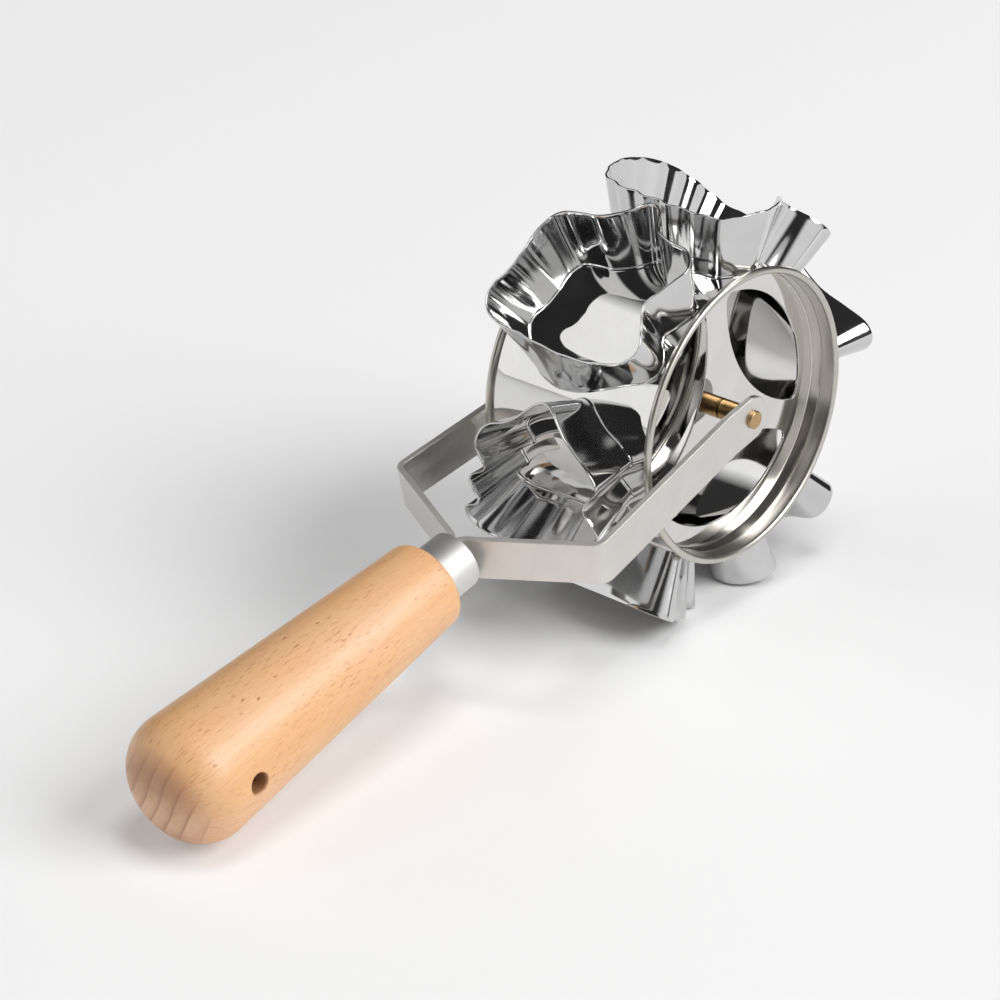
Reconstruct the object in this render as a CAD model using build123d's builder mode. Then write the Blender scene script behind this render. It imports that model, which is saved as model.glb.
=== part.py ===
"""Rolling cookie cutter: six cutters on a polished drum that spins in a fork with a wooden handle."""
import os
from math import asin, atan2, cos, hypot, pi, radians, sin

from build123d import *

os.makedirs("parts", exist_ok=True)

# Sizes, in millimetres and degrees

# Drum
cut_radius = 58.5            # axle to the cutting edges
drum_radius = 40.3           # outside of the polished tube
drum_half_width = 28.6       # middle of the axle to a rim face
tube_wall = 0.5
bead_radius = 1.05           # section of the rolled rim
rim_wall = 0.5               # sleeve of the rim inside the tube
web_depth = 8.1              # rim face down to the end web
web_sheet = 0.7
web_flange = 3.4
web_corner_radius = 1.2
web_margin = 6.75            # web left round the outside of the windows
hub_radius = 11.2            # axle to the nearest point of a window
window_arc_radius = 41.0     # hub side of a window
window_corner_radius = 2.5
window_count = 3
window_turn = 37.0           # first window, from +Y towards +Z

# Cutters
cutter_sheet = 0.55
cutter_inset = 1.6           # rim face to the widest cutting edge
cutter_flare = 3.6           # widening of a cutter from its foot to its edge, on each side
cutter_half_angle = 27.0     # half of the drum's turn that one cutter takes
first_cutter_angle = 57.0    # first cutter, from -Y towards +Z

# Pivots
pin_radius = 1.6
pin_head_radius = 2.5
pin_head_height = 1.05
pin_head_rounding = 0.3
pin_rivet_height = 0.8       # formed head inside the drum
spacer_radius = 2.9
washer_radius = 4.5
washer_sheet = 0.6

# Fork
strip_width = 12.5
strip_sheet = 1.8
side_gap = 0.3               # rim face to an arm
eye_straight = 9.0           # axle to where an arm starts to splay
eye_bend_radius = 20.0
fork_splay = 5.4             # outward run of an arm from the eye to the bend
bend_gap = 10.1              # cutting edges to the bend
bend_radius = 4.0
throat_length = 17.6         # bend to the mouth of the ferrule
throat_lead = 1.5            # straight part of an arm before the ferrule
throat_radius = 2.0
tang_length = 42.0           # part of an arm inside the ferrule and the handle

# Ferrule and handle
ferrule_radius = 8.1
ferrule_sheet = 0.6
ferrule_length = 10.8
ferrule_edge = 0.4
handle_length = 99.3
handle_front_radius = 12.1
handle_front_rounding = 2.5
handle_end_radius = 18.2
handle_end_rounding = 12.7
hang_hole_radius = 2.5
hang_hole_from_end = 19.4

# Clearances
seat_gap = 0.03              # between fixed pieces that sit against each other
running_gap = 0.06           # web hole round its pin
end_play = 0.15              # web between the spacer and the washer

# Cutting edges, as points on a grid with 27 squares from the middle of a cutter to its side: the
# first number runs along the axle, the second round the drum. A third number, where there is one,
# is the place round the drum of the wall's foot, where the wall leans.
outline_grid = 27
leaf = [(3.4, 23.6), (0, 19), (-4, 14.5), (-9, 12.5), (-17, 10.5), (-19.5, 4.5), (-19.5, -4.5), (-21, -12),
        (-23.2, -18.5), (-20.5, -23, -27), (-12, -25.3, -37), (2, -26.8, -38.5), (14, -27, -33),
        (23, -25.3, -28), (28, -22.5, -24), (28.3, -16), (24.8, -9), (27.5, -2), (29.6, 4.6), (27.6, 9),
        (20, 11.9), (14.4, 13.4), (10.2, 17.8), (6.8, 22.3)]
tree = [(5.5, 20), (1, 17.5), (-7, 11.4), (-12, 9.5), (-16, 5), (-16.5, 1), (-14, -3.8), (-19, -7.5),
        (-20.2, -11), (-18.8, -16.4), (-24, -20), (-26, -24), (-23.5, -30), (-12, -31.5), (4, -31.5),
        (18, -31), (25, -26), (20.5, -19), (24.5, -12.5), (20.8, -5.5), (25.5, 1.5), (20, 8.2), (13.5, 13.3)]
bell = [(20, 8.8), (0, 8.2), (-20, 8.8), (-27, 6), (-25, -2), (-20.5, -12), (-17, -20), (-12, -26), (0, -28),
        (12, -26.5), (14, -22), (18, -19.5), (17.5, -15), (21.5, -11), (24.7, -2.6), (27, 4)]
mitten = [(3, 30), (-10.7, 28.8), (-17.5, 25.8), (-20.8, 19.5), (-23, 11), (-24, 0), (-24.3, -10),
          (-23.8, -17.4), (-21.5, -25), (-18.5, -30), (-11.5, -33.2), (-1, -34.4), (9.4, -35.1), (18, -35.2),
          (26, -33.6), (29, -28.5), (30.4, -23.5), (28.5, -16), (21, -4), (13.5, 6), (12.5, 12.5), (16.3, 16.1),
          (20.3, 20.5), (20, 26), (12, 29.5)]
# the figure from between its legs to its head, and the heart from its cleft to its tip; each has a
# second half like the first
half_figure = [(0, 14.5), (-4.5, 17.8), (-8, 22.7), (-12.5, 24.7), (-17, 24.6), (-22, 21.5), (-24.6, 17),
               (-24.6, 13), (-21.7, 10), (-16, 6.6), (-14.8, 1.5), (-16.5, -3), (-21.5, -4.6), (-25.6, -6.6),
               (-27, -11.5), (-25.6, -15.6), (-22.5, -17), (-17.8, -16.8), (-11, -15.3), (-7, -16), (-8.3, -20),
               (-6, -25), (0, -27)]
half_heart = [(-14.5, 0), (-19.5, -6.5), (-21.5, -13.5), (-19, -20.5), (-13, -24.5), (-6, -24), (0, -20.5),
              (4, -17), (10, -10.6), (15.5, -8.2), (20.5, -6.2), (24.5, -4.4), (26.3, -2.4), (27, 0)]

# Places along the handle's axis, measured from the axle
bend_place = cut_radius + bend_gap
ferrule_place = bend_place + throat_length
handle_place = ferrule_place + ferrule_length
end_place = handle_place + handle_length
tang_end = ferrule_place + tang_length

# Tilt at which the handle's end and the cutting edges rest on the same floor
end_centre_place = end_place - handle_end_rounding
end_centre_radius = handle_end_radius - handle_end_rounding
end_centre_drop = cut_radius - handle_end_rounding
tilt = asin(end_centre_drop / hypot(end_centre_place, end_centre_radius))
tilt -= atan2(end_centre_radius, end_centre_place)
reach = end_centre_place * cos(tilt) + end_centre_radius * sin(tilt) + handle_end_rounding

# Places along the axle, measured from its middle
tube_half_length = drum_half_width - 2 * bead_radius - seat_gap
web_face = drum_half_width - web_depth
web_back = web_face - web_sheet
spacer_face = web_face + end_play
washer_back = web_back - end_play - washer_sheet
arm_face = drum_half_width + side_gap
arm_outside = arm_face + strip_sheet

# The origin is on the floor, under the middle of the part
axle = Vector(0, (reach - cut_radius) / 2, cut_radius)
axle_line = Axis(axle, (1, 0, 0))
handle_direction = Vector(0, -cos(tilt), -sin(tilt))
handle_up = Vector(0, -sin(tilt), cos(tilt))
handle_line = Axis(axle, handle_direction)
axle_profile = Plane(axle, x_dir=(1, 0, 0), z_dir=(0, -1, 0))
handle_profile = Plane(axle, x_dir=(1, 0, 0), z_dir=-handle_up)
handle_side = Plane(axle, x_dir=handle_direction, z_dir=(-1, 0, 0))


def end_plane(place):
    """Plane across the axle, facing +X, with Y to its right and Z up."""
    return Plane(axle + Vector(place, 0, 0), x_dir=(0, 1, 0), z_dir=(1, 0, 0))


def cross_plane(place):
    """Plane across the handle, facing the handle's end."""
    return Plane(axle + handle_direction * place, x_dir=(1, 0, 0), z_dir=handle_direction)


def cutter_plane(turn, distance):
    """Plane square to the drum's radius at one turn, with X to its right."""
    outward = Vector(0, -cos(radians(turn)), sin(radians(turn)))
    return Plane(axle + outward * distance, x_dir=(1, 0, 0), z_dir=outward)


def keep(builder, label):
    """Name a finished piece and write it."""
    builder.part.label = label
    export_step(builder.part, "parts/" + label + ".step")


def keep_pair(builder, label):
    """Write a piece of the right side, and its mirror image on the left side."""
    keep(builder, label + "_right")
    with BuildPart() as left:
        mirror(builder.part, about=Plane.YZ)
    keep(left, label + "_left")


# Drum tube
tube_bore = drum_radius - tube_wall
with BuildPart() as drum_tube:
    with BuildSketch(end_plane(0)):
        Circle(drum_radius)
        Circle(tube_bore, mode=Mode.SUBTRACT)
    extrude(amount=tube_half_length, both=True)
keep(drum_tube, "drum_tube")

# Rims: a rolled bead with a sleeve inside the tube
sleeve_place = web_face + web_flange + seat_gap
bead_place = drum_half_width - bead_radius
with BuildPart() as rim:
    with BuildSketch(axle_profile):
        with Locations((sleeve_place, tube_bore - seat_gap)):
            Rectangle(bead_place - sleeve_place, rim_wall, align=(Align.MIN, Align.MAX))
        with Locations((bead_place, drum_radius)):
            Circle(bead_radius)
    revolve(axis=axle_line)
keep_pair(rim, "rim_ring")

# End webs: a pressed cup with windows, whose flange sits inside the tube
web_radius = tube_bore - seat_gap
with BuildSketch() as window:
    Circle(web_radius - web_margin)
    with Locations((hub_radius + window_arc_radius, 0)):
        Circle(window_arc_radius, mode=Mode.INTERSECT)
    fillet(window.vertices(), window_corner_radius)

with BuildPart() as web:
    with BuildSketch(end_plane(web_back)):
        Circle(web_radius)
    extrude(amount=web_sheet + web_flange)
    fillet(web.edges().sort_by(Axis.X)[0], web_corner_radius)
    with BuildSketch(end_plane(web_face)):
        Circle(web_radius - web_sheet)
    extrude(amount=web_flange, mode=Mode.SUBTRACT)
    with BuildSketch(end_plane(web_back)):
        Circle(pin_radius + running_gap)
        with PolarLocations(0, window_count, start_angle=window_turn):
            add(window.sketch)
    extrude(amount=web_sheet, mode=Mode.SUBTRACT)
keep_pair(web, "end_web")

# Pivots: a headed pin through an arm and a web, a spacer outside the web and a washer inside it
pin_back = washer_back - seat_gap - pin_rivet_height
head_face = arm_outside + seat_gap
head_outside = head_face + pin_head_height
corner = (Align.MIN, Align.MIN)
with BuildPart() as pin:
    with BuildSketch(axle_profile):
        with Locations((pin_back, 0)):
            Rectangle(head_outside - pin_back, pin_radius, align=corner)
            Rectangle(pin_rivet_height, pin_head_radius, align=corner)
        with Locations((head_face, 0)):
            Rectangle(pin_head_height, pin_head_radius, align=corner)
    revolve(axis=axle_line)
    fillet(pin.edges().filter_by(GeomType.CIRCLE).sort_by(Axis.X)[-1], pin_head_rounding)
keep_pair(pin, "pivot_pin")

pin_hole_radius = pin_radius + seat_gap
with BuildPart() as spacer:
    with BuildSketch(end_plane(spacer_face)):
        Circle(spacer_radius)
        Circle(pin_hole_radius, mode=Mode.SUBTRACT)
    extrude(amount=arm_face - seat_gap - spacer_face)
keep_pair(spacer, "spacer")

with BuildPart() as washer:
    with BuildSketch(end_plane(washer_back)):
        Circle(washer_radius)
        Circle(pin_hole_radius, mode=Mode.SUBTRACT)
    extrude(amount=washer_sheet)
keep_pair(washer, "pin_washer")

# Fork: two bent strips that run back to back into the handle
tang_outside = seat_gap + strip_sheet
with BuildPart() as arm:
    with BuildSketch(handle_profile):
        with BuildLine():
            FilletPolyline(
                (arm_outside, -strip_width / 2),
                (arm_outside, eye_straight),
                (arm_outside + fork_splay, bend_place),
                (tang_outside, ferrule_place - throat_lead),
                (tang_outside, tang_end),
                radius=(eye_bend_radius, bend_radius, throat_radius),
            )
            offset(amount=strip_sheet, side=Side.LEFT)
        make_face()
    extrude(amount=strip_width / 2, both=True)
    with BuildSketch(handle_side):
        Circle(strip_width / 2)
        Rectangle(tang_end, strip_width, align=(Align.MIN, Align.CENTER))
    extrude(amount=arm_outside + fork_splay, both=True, mode=Mode.INTERSECT)
    with BuildSketch(end_plane(arm_face)):
        Circle(pin_hole_radius)
    extrude(amount=strip_sheet, mode=Mode.SUBTRACT)
keep_pair(arm, "fork_arm")

# Ferrule: a cup over the front of the handle, with a slot for the fork
slot_thickness = 2 * (tang_outside + seat_gap)
slot_width = strip_width + 2 * seat_gap
with BuildPart() as ferrule:
    with BuildSketch(cross_plane(ferrule_place)):
        Circle(ferrule_radius)
    extrude(amount=ferrule_length)
    fillet(ferrule.edges().filter_by(GeomType.CIRCLE).sort_by(handle_line)[0], ferrule_edge)
    with BuildSketch(cross_plane(ferrule_place + ferrule_sheet)):
        Circle(ferrule_radius - ferrule_sheet)
    extrude(amount=ferrule_length, mode=Mode.SUBTRACT)
    with BuildSketch(cross_plane(ferrule_place)):
        Rectangle(slot_thickness, slot_width)
    extrude(amount=ferrule_sheet, mode=Mode.SUBTRACT)
keep(ferrule, "ferrule")

# Handle: a turned grip with a neck inside the ferrule, a slot for the fork and a hanging hole
neck_place = ferrule_place + ferrule_sheet + seat_gap
grip_place = handle_place + seat_gap
hole_plane = Plane(axle + handle_direction * (end_place - hang_hole_from_end), z_dir=(1, 0, 0))
with BuildPart() as handle:
    with BuildSketch(handle_profile):
        with BuildLine():
            FilletPolyline(
                (0, grip_place),
                (handle_front_radius, grip_place),
                (handle_end_radius, end_place),
                (0, end_place),
                radius=(handle_front_rounding, handle_end_rounding),
            )
            Line((0, end_place), (0, grip_place))
        make_face()
    revolve(axis=handle_line)
    with BuildSketch(cross_plane(neck_place)):
        Circle(ferrule_radius - ferrule_sheet - seat_gap)
    extrude(amount=handle_place - neck_place + handle_front_rounding)
    with BuildSketch(cross_plane(neck_place)):
        Rectangle(slot_thickness, slot_width)
    extrude(amount=tang_end + seat_gap - neck_place, mode=Mode.SUBTRACT)
    with BuildSketch(hole_plane):
        Circle(hang_hole_radius)
    extrude(amount=handle_end_radius, both=True, mode=Mode.SUBTRACT)
keep(handle, "handle")

# Cutters: bent strips whose walls stand square on the drum and flare out along the axle


def whole(half, turn_across, turn_round):
    """A symmetric outline from its first half; the half's ends lie on the line of symmetry."""
    return half + [(turn_across * across, turn_round * place) for across, place in reversed(half[1:-1])]


figure = whole(half_figure, -1, 1)
heart = whole(half_heart, 1, -1)
cutter_half_width = drum_half_width - cutter_inset
root_distance = 0.7 * drum_radius
crown_distance = cut_radius + strip_sheet


def wall_points(outline, distance):
    """Points of a cutter's wall at one distance from the axle, from its foot and its edge."""
    points = []
    for across, round_edge, *lean in outline:
        round_foot = lean[0] if lean else round_edge
        edge_angle = radians(round_edge * cutter_half_angle / outline_grid)
        foot_angle = radians(round_foot * cutter_half_angle / outline_grid)
        edge_out = cut_radius * cos(edge_angle)
        foot_out = drum_radius * cos(foot_angle)
        share = (distance - foot_out) / (edge_out - foot_out)
        foot_round = drum_radius * sin(foot_angle)
        edge_round = cut_radius * sin(edge_angle)
        width = cutter_half_width + cutter_flare * (share - 1)
        points.append((across * width / outline_grid, foot_round + share * (edge_round - foot_round)))
    return points


def inset_points(points, depth):
    """The same outline, moved inward by the thickness of the strip."""
    moved = []
    for index, (x, y) in enumerate(points):
        x_before, y_before = points[index - 1]
        x_after, y_after = points[(index + 1) % len(points)]
        run = hypot(x_after - x_before, y_after - y_before)
        moved.append((x - depth * (y_after - y_before) / run, y + depth * (x_after - x_before) / run))
    return moved


cutters = {"leaf": leaf, "tree": tree, "bell": bell, "figure": figure, "heart": heart, "mitten": mitten}
for index, (label, outline) in enumerate(cutters.items()):
    turn = first_cutter_angle - index * 360 / len(cutters)
    with BuildPart() as cutter:
        for depth, mode in ((0, Mode.ADD), (cutter_sheet, Mode.SUBTRACT)):
            for distance in (root_distance, crown_distance):
                with BuildSketch(cutter_plane(turn, distance)):
                    with BuildLine():
                        Spline(*inset_points(wall_points(outline, distance), depth), periodic=True)
                    make_face()
            loft(ruled=True, mode=mode)
        with BuildSketch(end_plane(0)):
            Circle(cut_radius)
            Circle(drum_radius + seat_gap, mode=Mode.SUBTRACT)
        extrude(amount=arm_outside, both=True, mode=Mode.INTERSECT)
    keep(cutter, "cutter_" + label)
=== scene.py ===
import math

import bmesh
import bpy
import numpy as np
from mathutils import Matrix, Vector
from mathutils.geometry import delaunay_2d_cdt


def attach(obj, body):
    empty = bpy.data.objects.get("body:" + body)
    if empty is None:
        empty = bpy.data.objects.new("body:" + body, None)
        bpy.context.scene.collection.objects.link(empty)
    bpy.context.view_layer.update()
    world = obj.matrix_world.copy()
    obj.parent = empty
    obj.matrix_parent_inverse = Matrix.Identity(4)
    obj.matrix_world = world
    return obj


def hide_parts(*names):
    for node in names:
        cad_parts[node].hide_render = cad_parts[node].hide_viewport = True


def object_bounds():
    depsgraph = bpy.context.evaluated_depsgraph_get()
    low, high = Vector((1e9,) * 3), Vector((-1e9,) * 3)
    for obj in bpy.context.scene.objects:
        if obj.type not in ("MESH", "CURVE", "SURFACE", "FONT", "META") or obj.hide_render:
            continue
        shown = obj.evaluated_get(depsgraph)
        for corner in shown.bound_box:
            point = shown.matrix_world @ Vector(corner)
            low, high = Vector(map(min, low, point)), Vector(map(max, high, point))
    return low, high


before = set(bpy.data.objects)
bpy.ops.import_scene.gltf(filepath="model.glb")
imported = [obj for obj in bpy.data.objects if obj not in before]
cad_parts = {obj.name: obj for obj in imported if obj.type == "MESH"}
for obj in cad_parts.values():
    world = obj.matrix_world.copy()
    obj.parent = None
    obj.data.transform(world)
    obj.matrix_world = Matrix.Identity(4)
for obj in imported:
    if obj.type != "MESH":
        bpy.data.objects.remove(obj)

cad_low, cad_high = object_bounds()
MM = 0.001

# Sizes in millimetres, the same as in the solids
CUT = 58.5
DRUM = 40.3
HALF = 28.6
TUBE_WALL = 0.5
BEAD = 1.05
RIM_WALL = 0.5
WEB_DEPTH = 8.1
WEB_SHEET = 0.7
WEB_FLANGE = 3.4
WEB_CORNER = 1.2
WEB_MARGIN = 6.75
HUB = 11.2
WINDOWS = 3
WINDOW_ARC = 41.0
WINDOW_CORNER = 2.5
WINDOW_TURN = 37.0
SHEET = 0.55
INSET = 1.6
FLARE = 3.6
FIRST_TURN = 57.0
PIN = 1.6
PIN_HEAD = 2.5
PIN_HEAD_HEIGHT = 1.05
PIN_RIVET = 0.8
SPACER = 2.9
WASHER = 4.5
WASHER_SHEET = 0.6
STRIP = 12.5
STRIP_SHEET = 1.8
SIDE_GAP = 0.3
EYE_STRAIGHT = 9.0
EYE_BEND = 20.0
SPLAY = 5.4
BEND_GAP = 10.1
BEND = 4.0
THROAT = 17.6
THROAT_LEAD = 1.5
THROAT_BEND = 2.0
TANG = 42.0
FERRULE = 8.1
FERRULE_SHEET = 0.6
FERRULE_LENGTH = 10.8
HANDLE_LENGTH = 99.3
FRONT = 12.1
FRONT_ROUND = 2.5
END = 18.2
END_ROUND = 12.7
HOLE = 2.5
HOLE_FROM_END = 19.4
SEAT = 0.03
RUNNING = 0.06
PLAY = 0.15

# Forms that only the scene has, in millimetres: rounded edges, beaded feet and a worn hole
TUBE_EDGE = 0.12
BEAD_LEAD = 1.2
WEB_EDGE = 0.14
WEB_LIP = 0.15
CORNER_SLACK = 0.001
BLADE_EDGE = 0.2
HEM = 0.3
BORE_EDGE = 0.1
SPACER_EDGE = 0.22
WASHER_EDGE = 0.18
ARM_EDGE = 0.3
FERRULE_EDGE = 0.12
GRIP_EDGE = 0.22
WORN = 0.6
WORN_FROM = 16.1
WORN_FULL = 16.9
HOLE_TOOL = 25.0
HOLE_TOOL_FLARE = 0.1

# Numbers of steps in the meshes: full turns first, then arcs and straight runs
DRUM_SEGMENTS = 288
WEB_SEGMENTS = 192
PIN_SEGMENTS = 96
FERRULE_SEGMENTS = 160
GRIP_SEGMENTS = 192
HOLE_SEGMENTS = 64
HUB_HOLE_SEGMENTS = 40
BEAD_STEPS = 28
ARC_STEPS = 48
CORNER_STEPS = 12
CUTTER_POINTS = 720
WALL_ROWS = 16
EYE_STEPS = 24
SIDE_STEPS = 5
COLUMNS = 8

bend_place = CUT + BEND_GAP
ferrule_place = bend_place + THROAT
handle_place = ferrule_place + FERRULE_LENGTH
end_place = handle_place + HANDLE_LENGTH
hole_place = end_place - HOLE_FROM_END
tang_end = ferrule_place + TANG
end_centre = end_place - END_ROUND
tilt = math.asin((CUT - END_ROUND) / math.hypot(end_centre, END - END_ROUND))
tilt -= math.atan2(END - END_ROUND, end_centre)
reach = end_centre * math.cos(tilt) + (END - END_ROUND) * math.sin(tilt) + END_ROUND
axle = Vector((0, (reach - CUT) / 2, CUT)) * MM

# Frames of the pieces, both on the axle; in the handle's frame, Y runs along the handle towards the drum
DRUM_FRAME = Matrix.Translation(axle)
HANDLE_FRAME = DRUM_FRAME @ Matrix.Rotation(tilt, 4, "X")


# Materials

def new_material(name, metallic=0.0):
    material = bpy.data.materials.new(name)
    material.use_nodes = True
    tree = material.node_tree
    tree.nodes.clear()
    output = tree.nodes.new("ShaderNodeOutputMaterial")
    shader = tree.nodes.new("ShaderNodeBsdfPrincipled")
    shader.inputs["Metallic"].default_value = metallic
    tree.links.new(shader.outputs[0], output.inputs[0])
    return material, tree, shader


def node(tree, kind, *links, **values):
    """A node with its settings and socket values, and links (socket, output) into it."""
    made = tree.nodes.new("ShaderNode" + kind)
    for key, value in values.items():
        if key in made.inputs:
            made.inputs[key].default_value = value
        else:
            setattr(made, key, value)
    for socket, output in links:
        tree.links.new(output, made.inputs[socket])
    return made


def calc(tree, operation, *values):
    """Result of a math node; each value is an output or a number."""
    made = node(tree, "Math", operation=operation)
    for socket, value in enumerate(values):
        if isinstance(value, (int, float)):
            made.inputs[socket].default_value = value
        else:
            tree.links.new(value, made.inputs[socket])
    return made.outputs[0]


def parts_of(tree, place):
    return node(tree, "SeparateXYZ", (0, place)).outputs


def flat_length(tree, first, second):
    """Length of a flat vector from its two parts."""
    flat = node(tree, "CombineXYZ", (0, first), (1, second))
    return node(tree, "VectorMath", (0, flat.outputs[0]), operation="LENGTH").outputs["Value"]


def part_along(tree, vector, way):
    """Part of a vector along a constant direction."""
    made = node(tree, "VectorMath", (0, vector), operation="DOT_PRODUCT")
    made.inputs[1].default_value = way
    return made.outputs["Value"]


def ramp(tree, factor, *stops):
    """Colours along a factor; a number stands for a grey."""
    made = tree.nodes.new("ShaderNodeValToRGB")
    points = made.color_ramp.elements
    while len(points) < len(stops):
        points.new(0.5)
    for point, (place, colour) in zip(points, stops):
        point.position = place
        point.color = (*colour, 1) if isinstance(colour, tuple) else (colour, colour, colour, 1)
    tree.links.new(factor, made.inputs[0])
    return made.outputs[0]


def span(tree, factor, low, high, start=0.0, end=1.0):
    """From low to high while the factor goes from start to end, and level beyond."""
    made = node(tree, "MapRange", (0, factor))
    for index, value in enumerate((start, end, low, high)):
        made.inputs[index + 1].default_value = value
    return made.outputs[0]


def blend(tree, share, below, above):
    """One colour over another by a share; the upper one is a constant or an output."""
    made = node(tree, "Mix", (0, share), (6, below), data_type="RGBA")
    if isinstance(above, tuple):
        made.inputs[7].default_value = (*above, 1)
    else:
        tree.links.new(above, made.inputs[7])
    return made.outputs[2]


def local(tree, place):
    """Texture coordinates in a body's own frame, in metres."""
    made = node(tree, "Mapping", (0, node(tree, "TexCoord").outputs["Object"]))
    inverse = place.inverted()
    made.inputs["Location"].default_value = inverse.translation
    made.inputs["Rotation"].default_value = inverse.to_euler()
    return made.outputs[0]


def noise(tree, place, scale, detail=2.0, roughness=0.5):
    """Clouds about the middle of 0 to 1; one scale, or one along each axis, per metre."""
    if isinstance(scale, tuple):
        stretched = node(tree, "Mapping", (0, place))
        stretched.inputs["Scale"].default_value = scale
        place, scale = stretched.outputs[0], 1.0
    made = node(tree, "TexNoise", (0, place), Scale=scale, Detail=detail, Roughness=roughness)
    return made.outputs[0]


def clouded(tree, shader, cloud, colour, low, high):
    """A base colour that wanders between two shares of itself."""
    made = node(tree, "Mix", (0, cloud), data_type="RGBA")
    for socket, share in ((6, low), (7, high)):
        made.inputs[socket].default_value = (*(c * share for c in colour), 1)
    tree.links.new(made.outputs[2], shader.inputs["Base Color"])


# Depths of the relief in millimetres
SHEET_WAVES = 0.4
BRUSHED_LINES = 0.06
TURNED_LINES = 0.05
GRAIN_RELIEF = 0.12


def bump(tree, shader, height, strength, depth):
    made = node(tree, "Bump", ("Height", height), Strength=strength, Distance=depth * MM)
    tree.links.new(made.outputs[0], shader.inputs["Normal"])


# The web is satin from a radius outwards; the radius and the width of the blend in millimetres
WEB_SATIN_FROM = 38.35
WEB_SATIN_BLEND = 0.25
WEB_SATIN_ROUGHNESS = 0.2
WEB_SATIN_TONE = (0.60, 0.575, 0.54)


def mirror_steel(name, colour, rough, waves, satin_from=None):
    """Polished sheet with faint smudges, hairline scratches and slow waves; satin beyond a radius."""
    material, tree, shader = new_material(name, metallic=1.0)
    place = local(tree, DRUM_FRAME)
    smudge = noise(tree, place, 90.0, 5.0, 0.6)
    hair = noise(tree, place, (300, 2600, 2600))
    smudged = span(tree, smudge, rough * 0.6, rough * 1.9, 0.35, 0.75)
    roughness = calc(tree, "ADD", smudged, span(tree, hair, 0.0, rough, 0.6, 0.8))
    tone = ramp(tree, smudge, (0.35, tuple(c * 0.93 for c in colour)), (0.65, colour))
    if satin_from:
        radius = flat_length(tree, *parts_of(tree, place)[1:])
        satin = span(tree, radius, 0.0, 1.0, satin_from * MM, (satin_from + WEB_SATIN_BLEND) * MM)
        blurred = node(tree, "Mix", (0, satin), (2, roughness), data_type="FLOAT")
        blurred.inputs[3].default_value = WEB_SATIN_ROUGHNESS
        roughness = blurred.outputs[0]
        tone = blend(tree, satin, tone, WEB_SATIN_TONE)
    tree.links.new(roughness, shader.inputs["Roughness"])
    tree.links.new(tone, shader.inputs["Base Color"])
    bump(tree, shader, noise(tree, place, (140, 60, 60), 1.0), waves, SHEET_WAVES)
    return material


# Cut edges of the fork's strips: added roughness, and where it starts and is full in millimetres
CUT_EDGE_ROUGHNESS = 0.4
CUT_EDGE_START = 0.2
CUT_EDGE_FULL = 0.05


def satin_steel(name, colour, rough, scale):
    """Brushed strip whose lines run along the direction with the smallest scale, with rougher cut edges."""
    material, tree, shader = new_material(name, metallic=1.0)
    place = local(tree, HANDLE_FRAME)
    lines = noise(tree, place, scale, 4.0, 0.65)
    clouded(tree, shader, noise(tree, place, 120.0, 4.0), colour, 0.9, 1.07)
    height = calc(tree, "ABSOLUTE", parts_of(tree, place)[2])
    cut_edge = span(tree, height, 0.0, CUT_EDGE_ROUGHNESS, (STRIP / 2 - CUT_EDGE_START) * MM,
                    (STRIP / 2 - CUT_EDGE_FULL) * MM)
    brushed = span(tree, lines, rough - 0.08, rough + 0.1, 0.3, 0.7)
    tree.links.new(calc(tree, "ADD", brushed, cut_edge), shader.inputs["Roughness"])
    bump(tree, shader, lines, 0.12, BRUSHED_LINES)
    return material


def round_brushed(name, colour, rough, axis, frame_of, grooves):
    """Turned metal: fine rings about one axis of the piece's frame, and a soft cloud of tone."""
    material, tree, shader = new_material(name, metallic=1.0)
    place = local(tree, frame_of)
    parts = parts_of(tree, place)
    radius = flat_length(tree, *(parts[i] for i in range(3) if i != axis))
    rings_at = node(tree, "CombineXYZ", (0, parts[axis]), (1, radius))
    rings = noise(tree, rings_at.outputs[0], 5200.0, 3.0, 0.6)
    clouded(tree, shader, noise(tree, place, 160.0, 4.0), colour, 0.93, 1.05)
    tree.links.new(span(tree, rings, rough - 0.04, rough + 0.05, 0.3, 0.7), shader.inputs["Roughness"])
    bump(tree, shader, rings, grooves, TURNED_LINES)
    return material


# Beech: the place of the pith, the rings and the marks along the grain in millimetres, and the colours
PITH_LEFT = 42.0
PITH_UP = 30.0
RING_STEP = 4.2
RING_WARP = 4.8
CHART_RADIUS = 16.0
GRAIN_SLANT = 0.035
MARK_WOBBLE = 2.4
FLECKED_FROM = 1.0
FLECKED_FULLY = 11.0
STAIN_WARP = 11.0
STAIN_FROM = 5.5
STAIN_FULL = 11.5
SIDE_TONES = ((0.3, (0.70, 0.387, 0.165)), (0.5, (0.74, 0.424, 0.21)), (0.72, (0.755, 0.452, 0.265)))
LATE_TONE = (0.64, 0.32, 0.145)
FIBRE_TONE = (0.60, 0.28, 0.12)
FINE_MARK_TONE = (0.40, 0.11, 0.035)
BROAD_MARK_TONE = (0.34, 0.105, 0.03)
END_TONES = ((0.34, (0.62, 0.335, 0.18)), (0.48, (0.72, 0.42, 0.245)), (0.68, (0.79, 0.49, 0.31)))
STAIN_TONE = (0.43, 0.20, 0.085)
END_LATE_TONE = (0.36, 0.14, 0.07)
PORE_TONE = (0.44, 0.23, 0.13)
# Painted shade inside the hanging hole and at its mouths
HOLE_SHADE_TONE = (0.20, 0.085, 0.03)


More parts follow.
